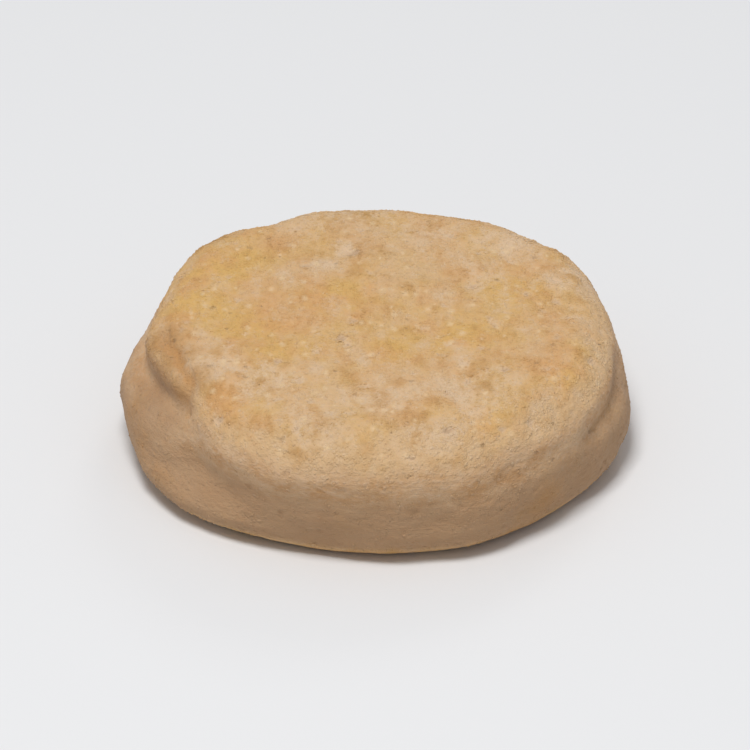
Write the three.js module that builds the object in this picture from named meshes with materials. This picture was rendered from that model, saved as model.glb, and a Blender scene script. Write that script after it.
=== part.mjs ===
// An english muffin: a round, flat bread, baked on a griddle on both faces.
// Millimetres, +Z up. The origin is the middle of the flat base, which it rests on.
// The muffin is one solid. A crust cap with a soft rolled rim sits on a wall of paler dough, which
// bulges out under the cap in lobes, with creases between the cap and the lobes.

import * as THREE from "three";
import { mergeVertices } from "three/addons/utils/BufferGeometryUtils.js";

// ---- Driving dimensions: millimetres, and degrees for an azimuth (0 is +X, 90 is +Y) ----
const DIAMETER = 88;
const THICKNESS = 25; // base to the crown of the top face
const CROWN = 1.3; // how far the top face falls from its middle to its rim
const TOP_RIM_RADIUS = 8.5; // the roll from the top face into the wall
const BASE_RIM_RADIUS = 6.5; // the roll from the wall into the base
const WAIST = { height: 12, tall: 3, swell: -0.4 }; // the wall pulls in all the way round
const CAP_START_HEIGHT = 12; // the wall turns into the cap between these two heights
const CAP_FULL_HEIGHT = 19;
const BASE_BLEND_HEIGHT = 4; // below this the relief of the crust fades out to the flat base

// Where the outline of the cap swells, or is pinched in when the swell is negative
const CAP_SWELLS = [
  { azimuth: 4, spread: 14, swell: -1.4 },
  { azimuth: 88, spread: 34, swell: 2 },
  { azimuth: 104, spread: 9, swell: 0.8 },
  { azimuth: 119, spread: 5.5, swell: -2.1 },
  { azimuth: 134, spread: 11, swell: 1.7 },
  { azimuth: 166, spread: 12, swell: -1.9 },
  { azimuth: 182, spread: 8, swell: 1.6 },
  { azimuth: 191, spread: 14, swell: -2.6 },
  { azimuth: 213, spread: 5, swell: -1 },
  { azimuth: 229, spread: 10, swell: 1.1 },
  { azimuth: 254, spread: 18, swell: 1.3 },
  { azimuth: 330, spread: 7, swell: -0.6 },
];

// Where the wall bulges or is pinched in, each about a height of its own
const WALL_SWELLS = [
  { azimuth: 8, spread: 15, height: 12, tall: 5, swell: -0.9 },
  { azimuth: 58, spread: 14, height: 11, tall: 5, swell: -0.5 },
  { azimuth: 96, spread: 17, height: 8, tall: 5, swell: 1.2 },
  { azimuth: 143, spread: 18, height: 8, tall: 5, swell: 0.9 },
  { azimuth: 190, spread: 16, height: 10, tall: 4.5, swell: 2.4 },
  { azimuth: 213, spread: 14, height: 4, tall: 4, swell: 2.6 },
  { azimuth: 221, spread: 5, height: 14, tall: 4.5, swell: -1.6 },
  { azimuth: 262, spread: 26, height: 11, tall: 6, swell: 1.4 },
  { azimuth: 308, spread: 15, height: 10, tall: 3.5, swell: 0.8 },
  { azimuth: 316, spread: 13, height: 5, tall: 3, swell: -0.8 },
  { azimuth: 344, spread: 11, height: 10, tall: 4.5, swell: 1.7 },
];

// A crease runs round the crust from one azimuth and height to another, and fades out at both ends.
// Its sag is how far its middle hangs below a straight run. One of negative depth is a ridge: the
// roll of dough pinched up between the left crease and the top face.
const CREASES = [
  { from: [164, 16], to: [219, 19.8], sag: 0.9, depth: 2.2, width: 1.6 },
  { from: [170, 20], to: [213, 22.4], sag: 0.4, depth: -0.7, width: 1.4 },
  { from: [176, 22.7], to: [206, 23.9], sag: 0.3, depth: 0.5, width: 0.8 },
  { from: [288, 14.2], to: [326, 16], sag: -0.2, depth: 0.7, width: 1.3 },
  { from: [320, 13.8], to: [362, 17.4], sag: 0.2, depth: 1.5, width: 1.6 },
  { from: [28, 15], to: [66, 12.5], sag: 0.5, depth: 0.8, width: 1.5 },
  { from: [121, 14], to: [160, 17], sag: 0.5, depth: 1, width: 1.5 },
  { from: [236, 7], to: [274, 6], sag: 0.6, depth: 0.5, width: 1.4 },
];
const CREASE_FADE = 11;

// Gentle waves of the whole crust, in three sizes
const UNDULATIONS = [
  { wavelength: 34, height: 0.36, waves: 7 },
  { wavelength: 15, height: 0.2, waves: 11 },
  { wavelength: 8, height: 0.1, waves: 15 },
];

// Shallow pits, where bubbles in the batter met the griddle
const PIT_COUNT = 40;
const PIT_RADIUS = { least: 2.4, most: 3.8 };
const PIT_DEPTH = { least: 0.3, most: 0.7 };
const PIT_TRIES = 9; // places tried for each pit: the one furthest from the others is taken
const SEED = 2117;

// ---- Mesh and colour ----
const SPHERE_DETAIL = 19; // gives 20 * (SPHERE_DETAIL + 1) ** 2 triangles
const SECTION_STEPS = 600;
const TRIANGLE_SHARE = { top: 0.9, wall: 1.5, base: 0.35 }; // triangles for each area, as ratios
const MERGE_DISTANCE = 1e-5; // on the sphere of radius 1 that the mesh starts from
const CRUST_COLOUR = 0xcea878;

const RADIUS = DIAMETER / 2;
const NEAR = 1e-6;

// The step of the random numbers: a linear congruential generator
const RANDOM = { multiplier: 1664525, increment: 1013904223, modulus: 2 ** 32 };

function degrees(x, y) {
  return (THREE.MathUtils.radToDeg(Math.atan2(y, x)) + 360) % 360;
}

function turnBetween(a, b) {
  const turn = Math.abs(a - b) % 360;
  return Math.min(turn, 360 - turn);
}

function bell(distance, spread) {
  return Math.exp(-((distance / spread) ** 2) / 2);
}

// Repeatable random numbers from 0 to 1
function seededRandom(seed) {
  let state = seed;
  return () => {
    state = (RANDOM.multiplier * state + RANDOM.increment) % RANDOM.modulus;
    return state / RANDOM.modulus;
  };
}

function randomBetween(random, { least, most }) {
  return least + (most - least) * random();
}

function randomDirection(random) {
  const z = 2 * random() - 1;
  const turn = 2 * Math.PI * random();
  const across = Math.sqrt(1 - z * z);
  return new THREE.Vector3(across * Math.cos(turn), across * Math.sin(turn), z);
}

// Half of the plain section, from the crown down to the middle of the base, in even steps. Each point
// has its share of the triangles so far, from 0 to 1.
function halfSection() {
  const path = new THREE.Path();
  path.moveTo(0, THICKNESS);
  path.lineTo(RADIUS - TOP_RIM_RADIUS, THICKNESS);
  path.absarc(RADIUS - TOP_RIM_RADIUS, THICKNESS - TOP_RIM_RADIUS, TOP_RIM_RADIUS, Math.PI / 2, 0, true);
  path.lineTo(RADIUS, BASE_RIM_RADIUS);
  path.absarc(RADIUS - BASE_RIM_RADIUS, BASE_RIM_RADIUS, BASE_RIM_RADIUS, 0, -Math.PI / 2, true);
  path.lineTo(0, 0);
  const points = path.getSpacedPoints(SECTION_STEPS);
  const shares = [0];
  for (let i = 1; i < points.length; i += 1) {
    const middle = points[i].clone().add(points[i - 1]).multiplyScalar(0.5);
    let zone = "wall";
    if (middle.y > THICKNESS - NEAR) zone = "top";
    if (middle.y < NEAR) zone = "base";
    const area = middle.x * points[i].distanceTo(points[i - 1]);
    shares.push(shares[i - 1] + area * TRIANGLE_SHARE[zone]);
  }
  const total = shares.at(-1);
  return points.map((point, i) => ({ radius: point.x, height: point.y, share: shares[i] / total }));
}

function sectionAt(section, share) {
  const next = Math.max(1, section.findIndex((point) => point.share >= share - NEAR));
  const [a, b] = [section[next - 1], section[next]];
  const t = THREE.MathUtils.clamp((share - a.share) / (b.share - a.share), 0, 1);
  return {
    radius: THREE.MathUtils.lerp(a.radius, b.radius, t),
    height: THREE.MathUtils.lerp(a.height, b.height, t),
  };
}

// How far the outline is swollen at an azimuth and height
function swellAt(azimuth, height) {
  const cap = THREE.MathUtils.smoothstep(height, CAP_START_HEIGHT, CAP_FULL_HEIGHT);
  let swell = WAIST.swell * bell(height - WAIST.height, WAIST.tall);
  for (const s of CAP_SWELLS) swell += cap * s.swell * bell(turnBetween(azimuth, s.azimuth), s.spread);
  for (const s of WALL_SWELLS) {
    swell += s.swell * bell(turnBetween(azimuth, s.azimuth), s.spread) * bell(height - s.height, s.tall);
  }
  return swell;
}

// The broad form: a direction from the middle of the muffin to a point of its crust
function formPoint(section, direction) {
  const azimuth = degrees(direction.x, direction.y);
  const { radius, height } = sectionAt(section, (1 - direction.z) / 2);
  const across = Math.hypot(direction.x, direction.y) || 1;
  const reach = radius * (1 + swellAt(azimuth, height) / RADIUS);
  const fall = CROWN * (radius / RADIUS) ** 2 * (height / THICKNESS);
  return new THREE.Vector3((direction.x / across) * reach, (direction.y / across) * reach, height - fall);
}

function creaseDepth(point, crease) {
  const [fromAzimuth, fromHeight] = crease.from;
  const [toAzimuth, toHeight] = crease.to;
  const azimuth = degrees(point.x, point.y);
  const along = (azimuth - fromAzimuth) / (toAzimuth - fromAzimuth);
  if (along < 0 || along > 1) return 0;
  const end = Math.min(azimuth - fromAzimuth, toAzimuth - azimuth);
  const level = THREE.MathUtils.lerp(fromHeight, toHeight, along);
  const offset = point.z - level + crease.sag * 4 * along * (1 - along);
  return crease.depth * THREE.MathUtils.smoothstep(end, 0, CREASE_FADE) * bell(offset, crease.width);
}

// One size of undulation: plane waves in random directions
function waveField(size, random) {
  const waves = Array.from({ length: size.waves }, () => ({
    direction: randomDirection(random).multiplyScalar((2 * Math.PI) / size.wavelength),
    phase: 2 * Math.PI * random(),
  }));
  const height = size.height * Math.sqrt(2 / size.waves);
  return (point) => waves.reduce((sum, w) => sum + height * Math.sin(w.direction.dot(point) + w.phase), 0);
}

// Pits spread evenly over the cap and the wall
function placePits(section, random) {
  const pits = [];
  while (pits.length < PIT_COUNT) {
    let best = null;
    let bestRoom = -1;
    for (let i = 0; i < PIT_TRIES; i += 1) {
      const place = formPoint(section, randomDirection(random));
      const room = pits.reduce((least, pit) => Math.min(least, pit.place.distanceTo(place)), Infinity);
      if (place.z > BASE_BLEND_HEIGHT && room > bestRoom) {
        best = place;
        bestRoom = room;
      }
    }
    if (best) {
      const radius = randomBetween(random, PIT_RADIUS);
      pits.push({ place: best, radius, depth: randomBetween(random, PIT_DEPTH) });
    }
  }
  return pits;
}

function pitDepth(point, pit) {
  return pit.depth * (1 - THREE.MathUtils.smoothstep(point.distanceTo(pit.place), 0, pit.radius));
}

// A closed sphere of even triangles, each vertex only once
function sphereMesh() {
  const sphere = new THREE.IcosahedronGeometry(1, SPHERE_DETAIL);
  sphere.deleteAttribute("normal");
  sphere.deleteAttribute("uv");
  return mergeVertices(sphere, MERGE_DISTANCE);
}

function muffinGeometry() {
  const random = seededRandom(SEED);
  const section = halfSection();
  const geometry = sphereMesh();
  const position = geometry.getAttribute("position");
  const point = new THREE.Vector3();
  for (let i = 0; i < position.count; i += 1) {
    point.fromBufferAttribute(position, i).normalize();
    position.setXYZ(i, ...formPoint(section, point));
  }
  geometry.computeVertexNormals();

  const undulations = UNDULATIONS.map((size) => waveField(size, random));
  const pits = placePits(section, random);
  const normals = geometry.getAttribute("normal");
  const normal = new THREE.Vector3();
  for (let i = 0; i < position.count; i += 1) {
    point.fromBufferAttribute(position, i);
    normal.fromBufferAttribute(normals, i);
    let rise = 0;
    for (const wave of undulations) rise += wave(point);
    for (const crease of CREASES) rise -= creaseDepth(point, crease);
    for (const pit of pits) rise -= pitDepth(point, pit);
    rise *= THREE.MathUtils.smoothstep(point.z, 0, BASE_BLEND_HEIGHT);
    point.addScaledVector(normal, rise);
    position.setXYZ(i, ...point);
  }

  geometry.computeBoundingBox();
  const middle = geometry.boundingBox.getCenter(new THREE.Vector3());
  geometry.translate(-middle.x, -middle.y, 0);
  geometry.computeVertexNormals();
  return geometry;
}

const crust = new THREE.MeshStandardMaterial({ color: CRUST_COLOUR, roughness: 0.9, metalness: 0 });
const muffin = new THREE.Mesh(muffinGeometry(), crust);
muffin.name = "muffin";

const model = new THREE.Group();
model.add(muffin);

export default model;
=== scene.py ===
"""An english muffin's looks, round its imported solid: the crust's fine relief, its golden and floury
mottling, and the paler wall of dough, on a pale studio floor. Blender's objects are in metres, in the
frame of the solid. The sizes of the crust and its grains are given in millimetres."""

import math
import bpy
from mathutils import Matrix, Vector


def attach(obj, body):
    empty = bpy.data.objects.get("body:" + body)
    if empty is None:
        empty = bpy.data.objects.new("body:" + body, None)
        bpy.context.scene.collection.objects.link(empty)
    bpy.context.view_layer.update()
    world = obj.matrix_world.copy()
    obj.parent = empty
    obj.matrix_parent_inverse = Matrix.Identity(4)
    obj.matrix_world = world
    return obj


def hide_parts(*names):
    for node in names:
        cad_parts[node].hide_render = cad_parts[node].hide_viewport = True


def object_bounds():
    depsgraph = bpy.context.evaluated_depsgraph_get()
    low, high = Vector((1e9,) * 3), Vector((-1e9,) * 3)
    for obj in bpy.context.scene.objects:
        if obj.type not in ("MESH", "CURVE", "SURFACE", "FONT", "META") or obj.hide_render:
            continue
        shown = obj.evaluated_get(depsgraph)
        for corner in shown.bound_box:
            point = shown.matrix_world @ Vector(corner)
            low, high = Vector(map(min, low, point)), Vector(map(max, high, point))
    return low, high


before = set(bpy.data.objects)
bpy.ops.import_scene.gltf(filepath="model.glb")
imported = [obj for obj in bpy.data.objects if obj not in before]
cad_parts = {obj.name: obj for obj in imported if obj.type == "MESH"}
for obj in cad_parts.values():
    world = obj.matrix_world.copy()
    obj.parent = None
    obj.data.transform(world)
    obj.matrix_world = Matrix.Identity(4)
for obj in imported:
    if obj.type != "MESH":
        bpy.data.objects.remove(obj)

from types import SimpleNamespace

import bpy
import numpy as np
from mathutils import Vector, kdtree

CAD_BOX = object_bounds()
NODE = "muffin"
MM = 0.001

SEED = 20817  # of the pits and blisters, and of the lumps' first noise; each next noise takes 1 more
CLUSTER_SEED = SEED + 5
WANDER_SEED = SEED + 10  # of the first of the wander's three noises; each next noise takes 1 more
BROWNED_SEED = SEED + 20
GRAIN_SEED = SEED + 77

# ---- Where the crust is top face, base and wall ----
SUBDIVISIONS = 2
SEAM_DISTANCE = 0.0001  # metres: the solid's faces are joined where their corners are this near
FACE_SLOPE = (0.05, 0.75)  # the wall turns into a face as its normal's upright part passes these
FACE_EDGE = (15.0, 21.5)  # and into the top face only as its height passes these
BASE_EDGE = (1.2, 4.5)  # the base ends as its height passes these
TOUCH_SLOPE = (0.7, 0.97)  # the griddle touches the crust more as the upright part passes these
LOW_WALL_SHADE = (17.0, 9.0)  # the painted shade of the wall's lower bulge, darker and browner, begins and ends its fade here
SLOPE_SMOOTHING = 8  # rounds of smoothing over neighbouring vertices
FACE_SMOOTHING = 6
CREASE_SMOOTHING = (6, 60)  # of the two forms whose difference finds the creases
MOSTLY_TOP = 0.5

# ---- The crust's fine relief ----
FLAT_BASE = 0.6  # no relief stands out of the crust below this height, so that the muffin lies flat
BASE_FADE = 2.5  # above that, the relief grows to its full height over this distance
BASE_RELIEF = 0.35  # the base's share of the relief

# Noise over the whole crust: size of a bump, height on the griddled faces, height on the wall
LUMPS = (
    (7.0, 0.10, 0.10),
    (3.2, 0.11, 0.09),
    (1.6, 0.12, 0.075),
)
FACE_STRETCH = (1.0, 0.62, 1.0)  # the faces' bumps are a little longer along Y
WALL_STRETCH = 2.4  # the wall's bumps are this much longer round it than up it
WALL_SHIFT = 11.3  # and come from another place in the noise, this many bumps away

# Pits of the griddled faces, pores of the wall, and blisters, whose depth is below zero
PITS = {"count": 260, "radius": (0.7, 1.5), "depth": (0.12, 0.4)}
PORES = {"count": 200, "radius": (0.6, 1.2), "depth": (0.08, 0.26)}
BLISTERS = {"count": 70, "radius": (1.4, 3.2), "depth": (-0.26, -0.1)}
STRAYS = 0.02  # how likely pits are on the wall, and pores on the faces, for 1 where they belong
WALL_BLISTERS = 0.15  # how likely blisters are on the wall, for 1 on the faces
PLACES_TRIED = 5  # for each of them, and the place furthest from the others is taken
WANDER = {"size": 1.3, "reach": 0.55}  # the noise that makes their outlines, and the folds', uneven

# The deepest pits of the top face, as (x, y, radius, depth)
MARKED_PITS = (
    (-3.2, 22.3, 1.5, 0.6),
    (-12.4, 18.2, 1.2, 0.45),
    (17.5, 12.0, 1.3, 0.5),
    (-6.3, -6.9, 1.2, 0.5),
    (-4.5, -9.4, 0.9, 0.4),
    (-16.8, -14.8, 1.1, 0.45),
    (22.8, -17.9, 1.3, 0.55),
    (21.2, -2.3, 1.0, 0.4),
    (12.2, -37.2, 1.4, 0.55),
    (-28.2, -31.9, 1.5, 0.4),
)

# Small folds in the skin: the points that each runs through, its half width and its depth
CAP_FOLD = (
    (-38.6, 4.9, 21.5),
    (-37.8, -1.2, 22.6),
    (-37.0, -5.7, 22.4),
    (-35.2, -9.8, 22.8),
    (-34.4, -14.1, 22.9),
    (-32.5, -19.2, 22.2),
    (-32.9, -20.4, 20.9),
    (-34.0, -19.6, 17.6),
)
FOLDS = (
    (CAP_FOLD, 2.0, 0.7),
    (((20.5, -39.9, 15.4), (23.3, -38.1, 16.5), (26.5, -35.9, 17.4)), 1.2, 0.3),
    (((-12.0, -44.0, 16.5), (-4.0, -45.3, 15.4), (5.0, -45.5, 15.9)), 0.9, 0.2),
    (((34.0, 27.5, 17.0), (28.0, 34.5, 15.5), (19.0, 40.0, 16.5)), 1.0, 0.3),
    (((-30.0, 33.0, 14.0), (-24.0, 38.0, 15.0)), 0.9, 0.25),
    (((41.5, -14.0, 9.0), (43.0, -5.0, 8.2), (43.0, 3.0, 9.0)), 0.9, 0.25),
)

# Soft rolls of dough: the points that each runs through, its half width and its height
RIGHT_ROLL = (
    (12.5, -44.3, 16.7),
    (18.1, -41.7, 15.9),
    (24.4, -37.2, 14.4),
    (31.4, -31.6, 15.0),
    (36.0, -26.0, 16.4),
)
LEFT_ROLL = (
    (-35.0, -20.0, 14.5),
    (-32.2, -26.2, 14.2),
    (-28.3, -33.5, 14.3),
    (-22.0, -40.0, 15.0),
)
ROLLS = (
    (RIGHT_ROLL, 4.0, 0.5),
    (LEFT_ROLL, 4.0, 0.6),
)

# ---- Tints of the crust ----
# Patches fade out from their middles. Those of the cap are given as (x, y, radius)
GOLDEN_PATCHES = (
    (-30.0, 20.0, 12.0),
    (-34.0, 5.0, 9.0),
    (-22.0, -1.0, 9.0),
    (-16.5, -10.0, 6.0),
    (-8.0, 6.0, 9.0),
    (13.0, -6.0, 6.0),
    (-11.5, -9.0, 6.0),
    (3.0, -12.0, 5.0),
    (25.0, 11.0, 7.0),
    (33.0, -19.0, 5.0),
    (-28.0, -27.0, 5.0),
)
FLOURY_PATCHES = (
    (-29.0, -16.5, 6.0),
    (-20.0, -21.0, 6.0),
    (18.0, -25.0, 8.0),
    (2.0, -28.0, 6.0),
    (9.4, 30.4, 6.0),
    (-4.6, 23.8, 4.0),
    (24.0, 28.0, 6.0),
    (-9.0, 19.0, 4.0),
    (19.0, 17.0, 4.0),
    (34.0, 17.0, 5.0),
    (-4.0, 37.0, 8.0),
    (-10.0, -37.0, 5.5),
    (9.0, -38.0, 5.5),
)
TOASTED_PATCHES = (
    (-30.0, 32.0, 5.0),
    (-38.0, -4.0, 5.0),
    (-36.0, -11.0, 5.0),
    (-33.5, -18.5, 5.0),
)
CAP_HEIGHT = (17.0, 20.0)  # the cap's toasted patches fade in as the height passes these

# Toasted patches of the wall, as (x, y, z, radius), and their share of the cap's strength
WALL_TOASTED = (
    (-45.0, -12.0, 12.0, 5.0),
    (-44.0, -18.5, 11.0, 5.0),
    (-41.0, -26.0, 8.0, 4.5),
    (30.0, -33.5, 7.0, 5.5),
    (-20.0, 40.0, 6.0, 5.0),
    (40.0, 20.0, 8.0, 5.0),
)
WALL_TOASTED_SHARE = 0.75

# Painted shade: parts of the wall darkened as brown as its lower bulge, as (x, y, radius)
LOBE_SHADE_PATCHES = (
    (-43.0, -15.0, 11.0),
    (-36.5, -18.0, 7.0),
    (43.5, -7.0, 7.0),
)

BASE_GOLDEN = 0.35  # how golden the whole base is
BASE_BROWNED = {"size": 16.0, "range": (-0.3, 0.6), "strength": 0.9}  # its toasted patches, by noise

# ---- Grains of meal ----
GRAINS = {
    "count": 17000,
    "sides": 5,
    "radius": (0.16, 0.42),
    "stretch": (0.75, 1.25),  # along each of its axes
    "height": 0.34,  # of its radius
    "sunk": 0.45,  # the share of its height that is under the crust
    "uneven": 0.25,  # how far its corners stray, as a share of their distance
    "lowest": 2,  # none is set below this height, so that the muffin lies flat
}
WALL_GRAINS = 0.12  # how dense the grains are on the wall, for 1 on the griddled faces
GRAIN_CLUSTERS = {"size": 6, "mean": 0.8, "least": 0.3}  # noise that makes them denser in places

# ---- The camera ----
CAMERA_DISTANCE = 1.764  # metres
CAMERA_ELEVATION = 30.9  # degrees
VIEW_WIDTH = 0.134  # metres across the frame at the muffin
SENSOR = 36.0  # millimetres

# ---- The studio: metres, degrees, watts, and sRGB colours of 0 to 255 ----
LIGHTS = {
    "key": {"azimuth": -22, "elevation": 73, "distance": 1.4, "size": 0.45, "power": 13.3},
    "back": {"azimuth": 160, "elevation": 35, "distance": 1.4, "size": 0.4, "power": 1.5},
}
SKY = {"colour": (248, 250, 255), "strength": 0.4}
FLOOR = {"radius": 6, "sides": 96, "colour": (228, 228, 228), "roughness": 0.9, "gloss": 0.1}

# The bake's map: two discs on the sheet's diagonal, the top half of the crust and the lower half
MAP_NAME = "OFBake"
MAP_SPLIT = 0.5  # of the muffin's height
MAP_TOP_RADIUS = 0.32
MAP_BASE_RADIUS = 0.255
MAP_MARGIN = 0.004

# The crust's values that its material reads from each vertex, and that a grain takes from under it
CRUST_VALUES = (
    "top",
    "base",
    "pits",
    "folds",
    "rise",
    "stand_out",
    "touch",
    "low",
    "golden",
    "floury",
    "toasted",
)


class SmoothNoise:
    """Gradient noise from about -1 to 1, with one bump to each unit of its input."""

    CELLS = 256
    SCALE = 1.6  # brings the noise to about -1 to 1

    def __init__(self, seed):
        random = np.random.default_rng(seed)
        self.order = random.permutation(self.CELLS)
        gradients = random.normal(size=(self.CELLS, 3))
        self.gradients = gradients / np.linalg.norm(gradients, axis=1, keepdims=True)

    def slope(self, cell, offset, corner):
        """The height at each point of the slope that the gradient at one corner of its cell makes."""
        x, y, z = ((cell + corner) % self.CELLS).T
        picked = self.order[(self.order[(self.order[x] + y) % self.CELLS] + z) % self.CELLS]
        return np.einsum("ij,ij->i", self.gradients[picked], offset - corner)

    def __call__(self, points):
        cell = np.floor(points).astype(int)
        offset = points - cell
        fade = offset**3 * (offset * (offset * 6 - 15) + 10)
        total = np.zeros(len(points))
        for corner in np.ndindex(2, 2, 2):
            weight = np.prod(np.where(corner, fade, 1 - fade), axis=1)
            total += weight * self.slope(cell, offset, np.array(corner))
        return total * self.SCALE


def smoothstep(value, low, high):
    """0 up to low, 1 from high on, and smooth between them."""
    t = np.clip((value - low) / (high - low), 0, 1)
    return t * t * (3 - 2 * t)


# ---- Reading and changing meshes ----


def read(items, name, width=1, kind=np.float32):
    """One property of a mesh's vertices, edges, corners or faces, as an array with a row for each."""
    values = np.empty(len(items) * width, kind)
    items.foreach_get(name, values)
    return values.reshape(-1, width) if width > 1 else values


def positions(mesh):
    return read(mesh.vertices, "co", 3).astype(float) / MM


def place(mesh, points):
    mesh.vertices.foreach_set("co", (points * MM).astype(np.float32).ravel())
    mesh.update()


def vertex_normals(mesh):
    return read(mesh.vertex_normals, "vector", 3).astype(float)


def face_corners(mesh):
    """The vertex at each corner of each face, and how many corners each face has."""
    corners = read(mesh.loops, "vertex_index", kind=np.int32)
    sizes = read(mesh.polygons, "loop_total", kind=np.int32)
    return corners, sizes


def vertex_areas(mesh):
    """The share of the crust's area round each vertex."""
    corners, sizes = face_corners(mesh)
    areas = read(mesh.polygons, "area")
    return np.bincount(corners, np.repeat(areas / sizes, sizes), len(mesh.vertices))


def read_values(mesh, name):
    return read(mesh.attributes[name].data, "value").astype(float)


def keep_values(mesh, **layers):
    """Stores a value for each vertex, which the crust's material reads."""
    for name, values in layers.items():
        layer = mesh.attributes.new(name, "FLOAT", "POINT")
        layer.data.foreach_set("value", values.astype(np.float32))


class Neighbours:
    """Means of a value over each vertex's neighbours."""

    def __init__(self, mesh):
        self.a, self.b = read(mesh.edges, "vertices", 2, np.int32).T
        self.size = len(mesh.vertices)
        self.count = np.bincount(self.a, minlength=self.size) + np.bincount(self.b, minlength=self.size)

    def mean(self, values):
        totals = []
        for column in values.reshape(self.size, -1).T:
            there = np.bincount(self.a, column[self.b], self.size)
            totals.append((there + np.bincount(self.b, column[self.a], self.size)) / self.count)
        return np.array(totals).T.reshape(values.shape)

    def smoothed(self, values, rounds):
        for _ in range(rounds):
            values = 0.5 * values + 0.5 * self.mean(values)
        return values


# ---- The body ----


def fine_copy():
    """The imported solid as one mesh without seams, subdivided and smoothed."""
    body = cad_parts[NODE].copy()
    body.data = body.data.copy()
    body.name = "muffin_body"
    body.parent = None
    for key in [k for k in body.keys() if k.startswith("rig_")]:
        del body[key]  # the frame's marks belong to the solid alone
    bpy.context.scene.collection.objects.link(body)
    weld = body.modifiers.new("weld", "WELD")
    weld.merge_threshold = SEAM_DISTANCE
    finer = body.modifiers.new("finer", "SUBSURF")
    finer.levels = finer.render_levels = SUBDIVISIONS
    depsgraph = bpy.context.evaluated_depsgraph_get()
    mesh = bpy.data.meshes.new_from_object(body.evaluated_get(depsgraph))
    body.modifiers.clear()
    body.data = mesh
    mesh.name = "muffin_body"
    for layer in list(mesh.uv_layers):
        mesh.uv_layers.remove(layer)
    mesh.materials.clear()
    mesh.shade_smooth()
    return body


def faces_and_wall(near, slope, height):
    """How far each vertex belongs to the top face, the base and the wall: three shares of 1."""
    top = smoothstep(slope, *FACE_SLOPE) * smoothstep(height, *FACE_EDGE)
    base = smoothstep(-slope, *FACE_SLOPE) * (1 - smoothstep(height, *BASE_EDGE))
    top = near.smoothed(top, FACE_SMOOTHING)
    return top, base, 1 - top - base


def lumps(points, wall):
    """The height of the fine bumps at each vertex."""
    rise = np.zeros(len(points))
    stretched = points * np.array([1, 1, WALL_STRETCH]) / math.sqrt(WALL_STRETCH)
    for i, (size, on_faces, on_wall) in enumerate(LUMPS):
        noise = SmoothNoise(SEED + i)
        rise += on_faces * (1 - wall) * noise(points * FACE_STRETCH / size)
        rise += on_wall * wall * noise(stretched / size + WALL_SHIFT)
    return rise


def wander(points):
    """The points moved a little by noise, so that what is measured from them has an uneven outline."""
    shifts = [SmoothNoise(WANDER_SEED + i)(points / WANDER["size"]) for i in range(3)]
    return points + WANDER["reach"] * np.stack(shifts, axis=1)


def spread(random, points, weights, count):
    """Vertices picked by weight, each the one of a few tries that is furthest from those so far."""
    chosen = []
    options = random.choice(len(points), size=(count, PLACES_TRIED), p=weights / weights.sum())
    for row in options:
        best = row[0]
        if chosen:
            apart = np.linalg.norm(points[row][:, None] - points[chosen][None], axis=2).min(axis=1)
            best = row[np.argmax(apart)]
        chosen.append(int(best))
    return chosen


def dent(tree, depths, centre, radius, depth):
    """Adds one round hollow to the depths of the vertices round its centre."""
    for _, index, distance in tree.find_range(Vector(centre), radius):
        t = distance / radius
        depths[index] += depth * (1 - t * t) ** 2


def hollows(random, tree, points, weights, spec):
    """The depths at each vertex of one kind of hollow, scattered by weight."""
    depths = np.zeros(len(points))
    for index in spread(random, points, weights, spec["count"]):
        radius = random.uniform(*spec["radius"])
        dent(tree, depths, points[index], radius, random.uniform(*spec["depth"]))
    return depths


def pits_and_blisters(points, wandered, top, base, wall):
    """The depths at each vertex of the pits and pores, and of the blisters."""
    random = np.random.default_rng(SEED)
    tree = kdtree.KDTree(len(points))
    for i, point in enumerate(wandered):
        tree.insert(point, i)
    tree.balance()
    pits = hollows(random, tree, points, top + base + STRAYS, PITS)
    pits += hollows(random, tree, points, wall + STRAYS, PORES)
    face_height = points[top > MOSTLY_TOP].mean(axis=0)[2]
    for x, y, radius, depth in MARKED_PITS:
        middle = tree.find((x, y, face_height))[0]
        dent(tree, pits, middle, radius, depth)
    blisters = hollows(random, tree, points, top + base + WALL_BLISTERS * wall, BLISTERS)
    return pits, blisters


def along_line(points, line, radius):
    """How near each point is to a line through others: 1 on it halfway along, and 0 at its ends and
    a radius away from it."""
    nearness = np.zeros(len(points))
    line = np.array(line)
    steps = len(line) - 1
    for i in range(steps):
        start, along = line[i], line[i + 1] - line[i]
        part = np.clip((points - start) @ along / (along @ along), 0, 1)
        away = np.linalg.norm(points - start - part[:, None] * along, axis=1) / radius
        cross = np.clip(1 - away**2, 0, 1) ** 2
        nearness = np.maximum(nearness, cross * np.sin(math.pi * (i + part) / steps))
    return nearness


def patch_weight(points, patches):
    """How near each vertex is to the middle of a patch, from 0 to 1. A patch that is given without a
    height is upright, and as wide all the way up."""
    weight = np.zeros(len(points))
    for *middle, radius in patches:
        away = np.linalg.norm(points[:, : len(middle)] - middle, axis=1) / radius
        weight = np.maximum(weight, np.exp(-(away**2)))
    return weight


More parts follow.
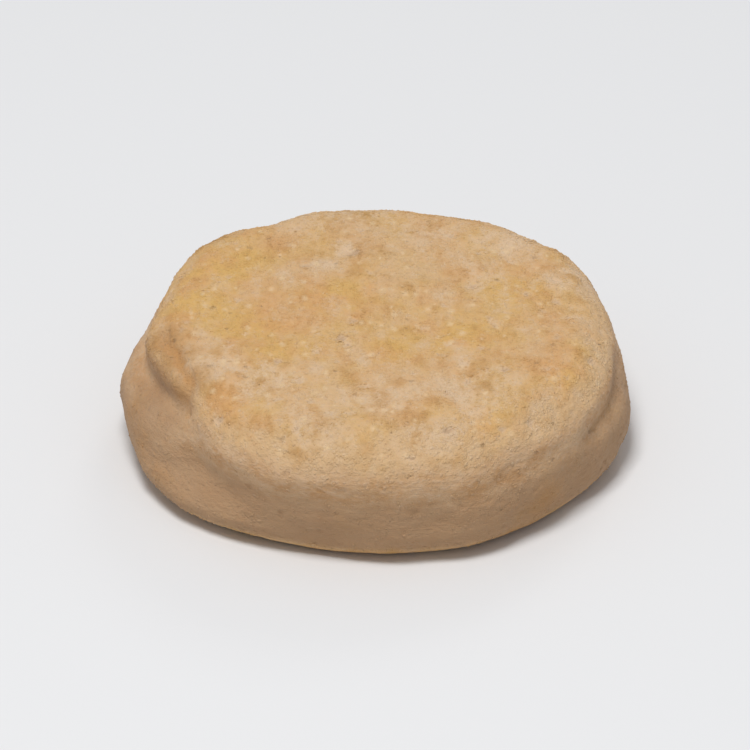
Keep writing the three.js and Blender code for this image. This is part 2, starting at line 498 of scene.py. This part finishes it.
def tints(points, top, base, wall):
    """How far each vertex takes the painted shade low on the wall and on its lobes, and how golden,
    floury and toasted it is.
    """
    height = points[:, 2]
    # painted shade: the wall darkens from its lower bulge down
    low = smoothstep(-height, -LOW_WALL_SHADE[0], -LOW_WALL_SHADE[1])
    noise = SmoothNoise(BROWNED_SEED)(points / BASE_BROWNED["size"])
    browned = BASE_BROWNED["strength"] * smoothstep(noise, *BASE_BROWNED["range"])
    toasted = patch_weight(points, TOASTED_PATCHES) * smoothstep(height, *CAP_HEIGHT)
    toasted += patch_weight(points, WALL_TOASTED) * WALL_TOASTED_SHARE * wall
    toasted += base * browned
    return {
        # the lobes take the same painted shade as the wall low down
        "low": np.maximum(low, patch_weight(points, LOBE_SHADE_PATCHES)) * wall,
        "golden": patch_weight(points, GOLDEN_PATCHES) * (top > 0) + BASE_GOLDEN * base,
        "floury": patch_weight(points, FLOURY_PATCHES) * (top > 0),
        "toasted": toasted,
    }


def map_for_bake(mesh, points):
    """Lays the crust's upper and lower halves out as two discs, from their middles to mid-wall."""
    height = points[:, 2].max()
    reach = np.hypot(points[:, 0], points[:, 1])
    azimuth = np.arctan2(points[:, 1], points[:, 0])
    corners, sizes = face_corners(mesh)
    upper = np.repeat(read(mesh.polygons, "center", 3)[:, 2] / MM > height * MAP_SPLIT, sizes)
    along = np.where(
        upper,
        reach[corners] + height - points[corners, 2],
        reach[corners] + points[corners, 2],
    )
    uv = np.empty((len(corners), 2))
    for half, radius, middle in (
        (upper, MAP_TOP_RADIUS, MAP_TOP_RADIUS + MAP_MARGIN),
        (~upper, MAP_BASE_RADIUS, 1 - MAP_BASE_RADIUS - MAP_MARGIN),
    ):
        out = radius * along[half] / along[half].max()
        turn = azimuth[corners[half]]
        uv[half] = middle + np.stack([out * np.cos(turn), out * np.sin(turn)], axis=1)
    layer = mesh.uv_layers.new(name=MAP_NAME)
    layer.data.foreach_set("uv", uv.astype(np.float32).ravel())


def shape_crust(body):
    """Gives the body its fine relief, its map for the bake, and the values that its material reads."""
    mesh = body.data
    points = positions(mesh)
    normals = vertex_normals(mesh)
    height = points[:, 2]
    near = Neighbours(mesh)
    slope = near.smoothed(normals[:, 2], SLOPE_SMOOTHING)
    top, base, wall = faces_and_wall(near, slope, height)

    # Creases are where the crust lies behind its own broad form
    fine, broad = [near.smoothed(points, rounds) for rounds in CREASE_SMOOTHING]
    stand_out = np.einsum("ij,ij->i", fine - broad, normals)

    wandered = wander(points)
    pits, blisters = pits_and_blisters(points, wandered, top, base, wall)
    folds = np.zeros(len(points))
    for line, radius, depth in FOLDS:
        folds = np.maximum(folds, depth * along_line(wandered, line, radius))

    rise = lumps(points, wall)
    rise -= pits + blisters + folds
    for line, radius, roll in ROLLS:
        rise += roll * along_line(points, line, radius)
    rise *= smoothstep(height, FLAT_BASE, FLAT_BASE + BASE_FADE) * (1 - base) + base * BASE_RELIEF
    rise = np.where(height < FLAT_BASE, np.minimum(rise, 0), rise)

    map_for_bake(mesh, points)
    place(mesh, points + rise[:, None] * normals)
    keep_values(
        mesh,
        top=top,
        base=base,
        pits=pits,
        folds=folds,
        rise=rise,
        stand_out=stand_out,
        touch=np.maximum(smoothstep(slope, *TOUCH_SLOPE), base),
        **tints(points, top, base, wall),
    )
    return body


# ---- Materials ----


def new_material(name):
    """A material, and the Principled shader that is all it has so far."""
    material = bpy.data.materials.new(name)
    material.use_nodes = True
    nodes = material.node_tree.nodes
    nodes.clear()
    output = nodes.new("ShaderNodeOutputMaterial")
    shader = nodes.new("ShaderNodeBsdfPrincipled")
    material.node_tree.links.new(shader.outputs["BSDF"], output.inputs["Surface"])
    return material, shader


def linear(red, green, blue):
    """An sRGB colour of 0 to 255 as Blender's linear colour."""
    channels = []
    for value in (red, green, blue):
        v = value / 255
        channels.append(v / 12.92 if v <= 0.04045 else ((v + 0.055) / 1.055) ** 2.4)
    return (*channels, 1.0)


class Nodes:
    """Short ways to add the nodes that the crust's material uses."""

    STEP = (0.137, 0.071, 0.193)  # metres from one pattern's place to the next one's
    MIX_A, MIX_B, MIX_RESULT = 6, 7, 2  # the Mix node's sockets for colours, which share their names

    def __init__(self, material):
        self.tree = material.node_tree
        self.places = 0

    def add(self, kind, **settings):
        node = self.tree.nodes.new(kind)
        for key, value in settings.items():
            setattr(node, key, value)
        return node

    def put(self, socket, value):
        """Links a node's output to the socket, or sets the socket to a number or a colour."""
        if isinstance(value, bpy.types.NodeSocket):
            self.tree.links.new(value, socket)
        else:
            socket.default_value = value

    def point(self, stretch=(1, 1, 1)):
        """The place on the object, moved on a little each time so that no two patterns line up."""
        self.places += 1
        mapping = self.add("ShaderNodeMapping")
        mapping.inputs["Location"].default_value = [self.places * step for step in self.STEP]
        mapping.inputs["Scale"].default_value = stretch
        self.put(mapping.inputs["Vector"], self.add("ShaderNodeTexCoord").outputs["Object"])
        return mapping.outputs["Vector"]

    def noise(self, size_mm, detail, roughness, stretch=(1, 1, 1), colour=False):
        texture = self.add("ShaderNodeTexNoise")
        self.put(texture.inputs["Vector"], self.point(stretch))
        texture.inputs["Scale"].default_value = 1 / (size_mm * MM)
        texture.inputs["Detail"].default_value = detail
        texture.inputs["Roughness"].default_value = roughness
        return texture.outputs["Color" if colour else "Fac"]

    def cells(self, size_mm, wander_mm, reach_mm, stretch=(1, 1, 1)):
        """How far each point is from the middle of its cell, and the cell's own tone, from 0 to 1.
        The cells' outlines wander by a noise of that size and reach."""
        shifted = self.add("ShaderNodeVectorMath", operation="MULTIPLY_ADD")
        self.put(shifted.inputs[0], self.noise(wander_mm, detail=2.0, roughness=0.6, colour=True))
        shifted.inputs[1].default_value = [reach_mm * MM] * 3
        self.put(shifted.inputs[2], self.point(stretch))
        texture = self.add("ShaderNodeTexVoronoi")
        self.put(texture.inputs["Vector"], shifted.outputs["Vector"])
        texture.inputs["Scale"].default_value = 1 / (size_mm * MM)
        tone = self.add("ShaderNodeSeparateColor")
        self.put(tone.inputs["Color"], texture.outputs["Color"])
        return texture.outputs["Distance"], tone.outputs["Red"]

    def spots(self, cells, from_tone, least, most, strength=1.0):
        """A soft spot in the middle of each cell. Its radius, in cells, is least up to a tone, and
        grows from there to most at tone 1."""
        out, tone = cells
        radius = self.ramp(tone, from_tone, 1.0, least, most)
        return self.ramp(out, radius, 0.0, 0.0, strength)

    def value(self, name):
        """What the mesh stores under that name for each vertex, or 0."""
        return self.add("ShaderNodeAttribute", attribute_name=name).outputs["Fac"]

    def ramp(self, value, low, high, to_low=0.0, to_high=1.0):
        """Goes smoothly from to_low to to_high as the value goes from low to high."""
        node = self.add("ShaderNodeMapRange", interpolation_type="SMOOTHSTEP")
        for socket, item in zip(node.inputs, (value, low, high, to_low, to_high)):
            self.put(socket, item)
        return node.outputs["Result"]

    def math(self, operation, a, b, clamp=False):
        node = self.add("ShaderNodeMath", operation=operation, use_clamp=clamp)
        self.put(node.inputs[0], a)
        self.put(node.inputs[1], b)
        return node.outputs["Value"]

    def total(self, *terms):
        """The sum of (value, share) pairs."""
        result = 0.0
        for value, share in terms:
            result = self.math("ADD", self.math("MULTIPLY", value, share), result)
        return result

    def mix(self, factor, a, b):
        node = self.add("ShaderNodeMix", data_type="RGBA")
        self.put(node.inputs["Factor"], factor)
        self.put(node.inputs[self.MIX_A], a)
        self.put(node.inputs[self.MIX_B], b)
        return node.outputs[self.MIX_RESULT]

    def tint(self, colour, tint, mask, low, high, share=1.0):
        """The colour, which takes up to a share of the tint as the mask goes from low to high."""
        return self.mix(self.ramp(mask, low, high, 0.0, share), colour, tint)

    def bump(self, height, distance_mm):
        node = self.add("ShaderNodeBump")
        node.inputs["Distance"].default_value = distance_mm * MM
        self.put(node.inputs["Height"], height)
        return node.outputs["Normal"]


GOLD = linear(212, 169, 100)
AMBER = linear(209, 159, 103)
TOAST = linear(180, 134, 82)
# the folds' golden brown: partly their browner crust, partly painted shade in them
FOLD_BROWNING_AND_SHADE = linear(194, 145, 91)
PALE = linear(211, 175, 131)
FLOUR = linear(222, 196, 168)
DOUGH = linear(202, 166, 127)
DOUGH_WARM = linear(189, 144, 97)
DOUGH_PALE = linear(211, 182, 151)
# painted shade of the wall low down and on its lobes
DOUGH_LOW_SHADE = linear(173, 138, 104)
# painted shade in the pits, pores and creases
HOLLOW_SHADE = linear(140, 102, 66)
FLECK = linear(229, 198, 155)

# How the patterns are stretched: less than 1 makes them run further along that axis
PATCH_STRETCH = (1.0, 0.85, 1.0)
MOTTLE_STRETCH = (1.0, 0.56, 1.0)
FLECK_STRETCH = (1.0, 0.7, 1.0)
WALL_PATTERN_STRETCH = (1, 1, 1.8)

CRUST_FINISH = {
    "Specular IOR Level": 0.25,
    "Subsurface Weight": 0.06,
    "Subsurface Radius": (1.0, 0.55, 0.3),
    "Subsurface Scale": 1.2 * MM,
    "Sheen Weight": 0.06,
    "Sheen Roughness": 0.6,
}


def crust_patterns(n):
    """What the crust's colours and relief are made of. The order sets the place of each pattern."""
    p = SimpleNamespace(tone=n.value("tone"))  # each grain has a tone of its own, and the crust 0
    p.broad = n.noise(24, detail=2.0, roughness=0.5)
    p.patches = n.noise(6.0, detail=4.0, roughness=0.6, stretch=PATCH_STRETCH)
    p.mottle = n.noise(3.4, detail=5.0, roughness=0.65, stretch=MOTTLE_STRETCH)
    p.fine = n.noise(0.5, detail=3.0, roughness=0.6)
    pore_cells = n.cells(3.2, wander_mm=0.7, reach_mm=0.8)
    fleck_cells = n.cells(2.0, wander_mm=0.9, reach_mm=0.7, stretch=FLECK_STRETCH)
    p.pores = n.spots(pore_cells, from_tone=0.5, least=0.02, most=0.24)
    p.flecks = n.spots(fleck_cells, from_tone=0.3, least=0.05, most=0.5, strength=0.68)
    p.hue = n.noise(9.0, detail=3.0, roughness=0.6, stretch=PATCH_STRETCH)
    p.wall_patches = n.noise(7, detail=3.0, roughness=0.6, stretch=WALL_PATTERN_STRETCH)
    p.wall_fine = n.noise(1.2, detail=3.0, roughness=0.65, stretch=WALL_PATTERN_STRETCH)
    return p


def griddled_colour(n, p):
    """The top face and the base: golden where the crust stands out, pale and floury where it doesn't."""
    golden = n.total(
        (p.mottle, 0.7),
        (p.patches, 1.0),
        (p.broad, 0.6),
        (p.tone, -0.05),
        (n.value("golden"), 0.5),
        (n.value("floury"), -0.3),
        (n.value("touch"), 0.35),
        (n.value("rise"), 1.0),
    )
    toasted = n.total(
        (p.mottle, 0.8),
        (p.fine, 0.2),
        (p.tone, -0.04),
        (p.patches, 0.5),
        (n.value("rise"), 1.2),
    )
    dusted = n.total(
        (p.mottle, -0.7),
        (p.patches, -0.3),
        (p.fine, 0.3),
        (n.value("floury"), 0.3),
        (p.tone, 0.15),
        (n.value("rise"), -1.0),
    )
    gold = n.tint(GOLD, AMBER, p.hue, 0.35, 0.65)
    colour = n.tint(PALE, gold, golden, 1.05, 2.05)
    colour = n.tint(colour, TOAST, toasted, 0.72, 1.17, share=0.6)
    colour = n.tint(colour, FLOUR, dusted, -0.36, 0.15, share=0.5)
    on_top = n.ramp(n.value("top"), 0.0, 1.0, 0.35, 1.0)
    return n.mix(n.math("MULTIPLY", p.flecks, on_top), colour, FLECK)


def dough_colour(n, p):
    """The wall: smooth dough, warmer in patches, with painted shade, darker and browner, low down, and a
    thin dust of flour.
    """
    # where the painted shade lies, low on the wall and on its lobes; the flour's dust thins there
    low = n.total((n.value("low"), 1.0), (p.wall_patches, 0.5), (p.wall_fine, 0.3))
    dust = n.total((p.wall_fine, 1.0), (p.tone, 0.1), (n.value("low"), -0.25))
    colour = n.tint(DOUGH, DOUGH_WARM, p.wall_patches, 0.35, 0.7)
    # painted shade: darker, browner dough
    colour = n.tint(colour, DOUGH_LOW_SHADE, low, 0.4, 1.4, share=0.85)
    return n.tint(colour, DOUGH_PALE, dust, 0.35, 0.8, share=0.6)


def crust_colour(n, p):
    """Dough and griddled faces, toasted in places, with painted shade in the pits, pores, creases and
    browner folds.
    """
    faces = n.math("ADD", n.value("top"), n.value("base"), clamp=True)
    edge = n.total((faces, 1.0), (p.patches, 0.6), (p.mottle, 0.5))
    toast = n.total((n.value("toasted"), 1.0), (p.patches, 0.7), (p.mottle, 0.7))
    # the folds' golden brown, partly browner crust and partly painted shade
    fold_browning_and_shade = n.total((n.value("folds"), 1.0), (p.mottle, 0.7), (p.patches, 0.3))
    # painted shade in the pits, darker where deeper, and in the pores
    pits = n.ramp(n.value("pits"), 0.1, 0.5, 0.0, 0.35)
    hollow = n.math("MAXIMUM", n.math("MULTIPLY", p.pores, 0.35), pits)

    colour = n.tint(dough_colour(n, p), griddled_colour(n, p), edge, 0.5, 1.6)
    colour = n.tint(colour, TOAST, toast, 0.75, 1.75, share=0.75)
    colour = n.tint(colour, FOLD_BROWNING_AND_SHADE, fold_browning_and_shade, 0.6, 1.25, share=0.85)
    colour = n.mix(hollow, colour, HOLLOW_SHADE)
    # painted shade in the creases, where the crust lies behind its broad form
    return n.tint(colour, HOLLOW_SHADE, n.value("stand_out"), -0.1, -0.7, share=0.65)


def crust_relief(n, p):
    """Relief finer than the mesh, stronger where the griddle touched the crust, with hollow pores."""
    touch = n.ramp(n.value("touch"), 0.0, 1.0, 0.4, 1.0)
    relief = n.math("MULTIPLY", n.total((p.mottle, 0.6), (p.fine, 0.25)), touch)
    relief = n.math("ADD", relief, n.math("MULTIPLY", p.wall_fine, 0.38))
    relief = n.math("SUBTRACT", relief, n.math("MULTIPLY", p.pores, 0.3))
    return n.bump(relief, distance_mm=1.0)


def crust_material():
    material, shader = new_material("baked_crust")
    n = Nodes(material)
    p = crust_patterns(n)
    roughness = n.ramp(n.total((p.patches, 0.6), (p.fine, 0.4)), 0.3, 0.7, 0.74, 0.95)
    n.put(shader.inputs["Base Color"], crust_colour(n, p))
    n.put(shader.inputs["Roughness"], roughness)
    n.put(shader.inputs["Normal"], crust_relief(n, p))
    for name, value in CRUST_FINISH.items():
        shader.inputs[name].default_value = value
    return material


# ---- Grains of meal, as one mesh ----


def grain_shape():
    """A double pyramid of radius 1: its corners and triangles."""
    sides = GRAINS["sides"]
    turns = 2 * math.pi * np.arange(sides) / sides
    ring = np.stack([np.cos(turns), np.sin(turns), 0 * turns], axis=1)
    low, high = sides, sides + 1
    faces = []
    for i in range(sides):
        j = (i + 1) % sides
        faces += [(i, j, high), (j, i, low)]
    return np.concatenate([ring, [(0, 0, -1), (0, 0, 1)]]), np.array(faces)


def axes_on(random, normals):
    """For each normal, three axes of a grain that is turned at random about it."""
    side = np.cross(normals, random.normal(size=normals.shape))
    side /= np.linalg.norm(side, axis=1, keepdims=True)
    return np.stack([side, np.cross(normals, side), normals], axis=1)


def grain_weights(mesh, points, values):
    """How likely a grain is at each vertex."""
    clusters = GRAIN_CLUSTERS["mean"] + SmoothNoise(CLUSTER_SEED)(points / GRAIN_CLUSTERS["size"])
    weights = vertex_areas(mesh) * (WALL_GRAINS + values["top"] + values["base"])
    weights = weights * (points[:, 2] > GRAINS["lowest"])
    return weights * np.clip(clusters, GRAIN_CLUSTERS["least"], None)


def grain_corners(random, points, normals, shape):
    """The corners of a grain on each point, nearly half sunk, in sizes and forms of its own."""
    count = len(points)
    radius = random.uniform(*GRAINS["radius"], (count, 1, 1))
    radius = radius * random.uniform(*GRAINS["stretch"], (count, 1, 3))
    radius[:, :, 2] *= GRAINS["height"]
    uneven = 1 + GRAINS["uneven"] * random.uniform(-1, 1, (count, len(shape), 1))
    corners = shape[None] * uneven * radius
    corners[:, :, 2] += radius[:, :, 2] * (1 - 2 * GRAINS["sunk"])
    return corners @ axes_on(random, normals) + points[:, None]


def scatter_grains(body):
    """Meal over the crust, denser on the griddled faces. Each grain takes the crust's tints under it."""
    random = np.random.default_rng(GRAIN_SEED)
    count = GRAINS["count"]
    points = positions(body.data)
    normals = vertex_normals(body.data)
    values = {name: read_values(body.data, name) for name in CRUST_VALUES}
    weights = grain_weights(body.data, points, values)
    picked = random.choice(len(points), count, replace=False, p=weights / weights.sum())
    shape, shape_faces = grain_shape()
    corners = grain_corners(random, points[picked], normals[picked], shape)
    faces = shape_faces[None] + len(shape) * np.arange(count)[:, None, None]

    mesh = bpy.data.meshes.new("meal_grains")
    mesh.from_pydata((corners.reshape(-1, 3) * MM).tolist(), [], faces.reshape(-1, 3).tolist())
    values = {name: value[picked] for name, value in values.items()}
    values["tone"] = random.uniform(-1, 1, count)
    keep_values(mesh, **{name: np.repeat(value, len(shape)) for name, value in values.items()})
    piece = bpy.data.objects.new("meal_grains", mesh)
    bpy.context.scene.collection.objects.link(piece)
    return piece


# ---- The studio ----


def make_floor():
    bpy.ops.mesh.primitive_circle_add(vertices=FLOOR["sides"], radius=FLOOR["radius"], fill_type="NGON")
    floor = bpy.context.object
    floor.name = "studio_floor"
    material, shader = new_material("studio_floor")
    shader.inputs["Base Color"].default_value = linear(*FLOOR["colour"])
    shader.inputs["Roughness"].default_value = FLOOR["roughness"]
    shader.inputs["Specular IOR Level"].default_value = FLOOR["gloss"]
    floor.data.materials.append(material)


def soft_box(name, azimuth, elevation, distance, size, power):
    """A square soft light aimed at the muffin. Azimuth 0 is behind the camera, 90 to its right."""
    turn, rise = math.radians(azimuth), math.radians(elevation)
    light = bpy.data.lights.new(name, "AREA")
    light.shape = "SQUARE"
    light.size = size
    light.energy = power
    box = bpy.data.objects.new(name, light)
    towards = Vector((math.sin(turn) * math.cos(rise), -math.cos(turn) * math.cos(rise), math.sin(rise)))
    box.location = towards * distance
    box.rotation_euler = towards.to_track_quat("Z", "Y").to_euler()
    bpy.context.scene.collection.objects.link(box)


def make_lights():
    for name, settings in LIGHTS.items():
        soft_box(name, **settings)
    world = bpy.data.worlds.new("studio")
    world.use_nodes = True
    background = world.node_tree.nodes["Background"]
    background.inputs["Color"].default_value = linear(*SKY["colour"])
    background.inputs["Strength"].default_value = SKY["strength"]
    bpy.context.scene.world = world


def make_camera():
    low, high = CAD_BOX
    target = (low + high) / 2
    rise = math.radians(CAMERA_ELEVATION)
    towards = Vector((0, -math.cos(rise), math.sin(rise)))
    camera = bpy.data.objects.new("camera", bpy.data.cameras.new("camera"))
    camera.data.sensor_width = SENSOR
    camera.data.lens = SENSOR * CAMERA_DISTANCE / VIEW_WIDTH
    camera.location = target + towards * CAMERA_DISTANCE
    camera.rotation_euler = (-towards).to_track_quat("-Z", "Y").to_euler()
    bpy.context.scene.collection.objects.link(camera)
    bpy.context.scene.camera = camera


def main():
    body = shape_crust(fine_copy())
    grains = scatter_grains(body)
    crust = crust_material()
    for piece in (body, grains):
        piece.data.materials.append(crust)
        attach(piece, "root")
    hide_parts(NODE)
    make_floor()
    make_lights()
    make_camera()
    bpy.context.scene.view_settings.view_transform = "Standard"


main()
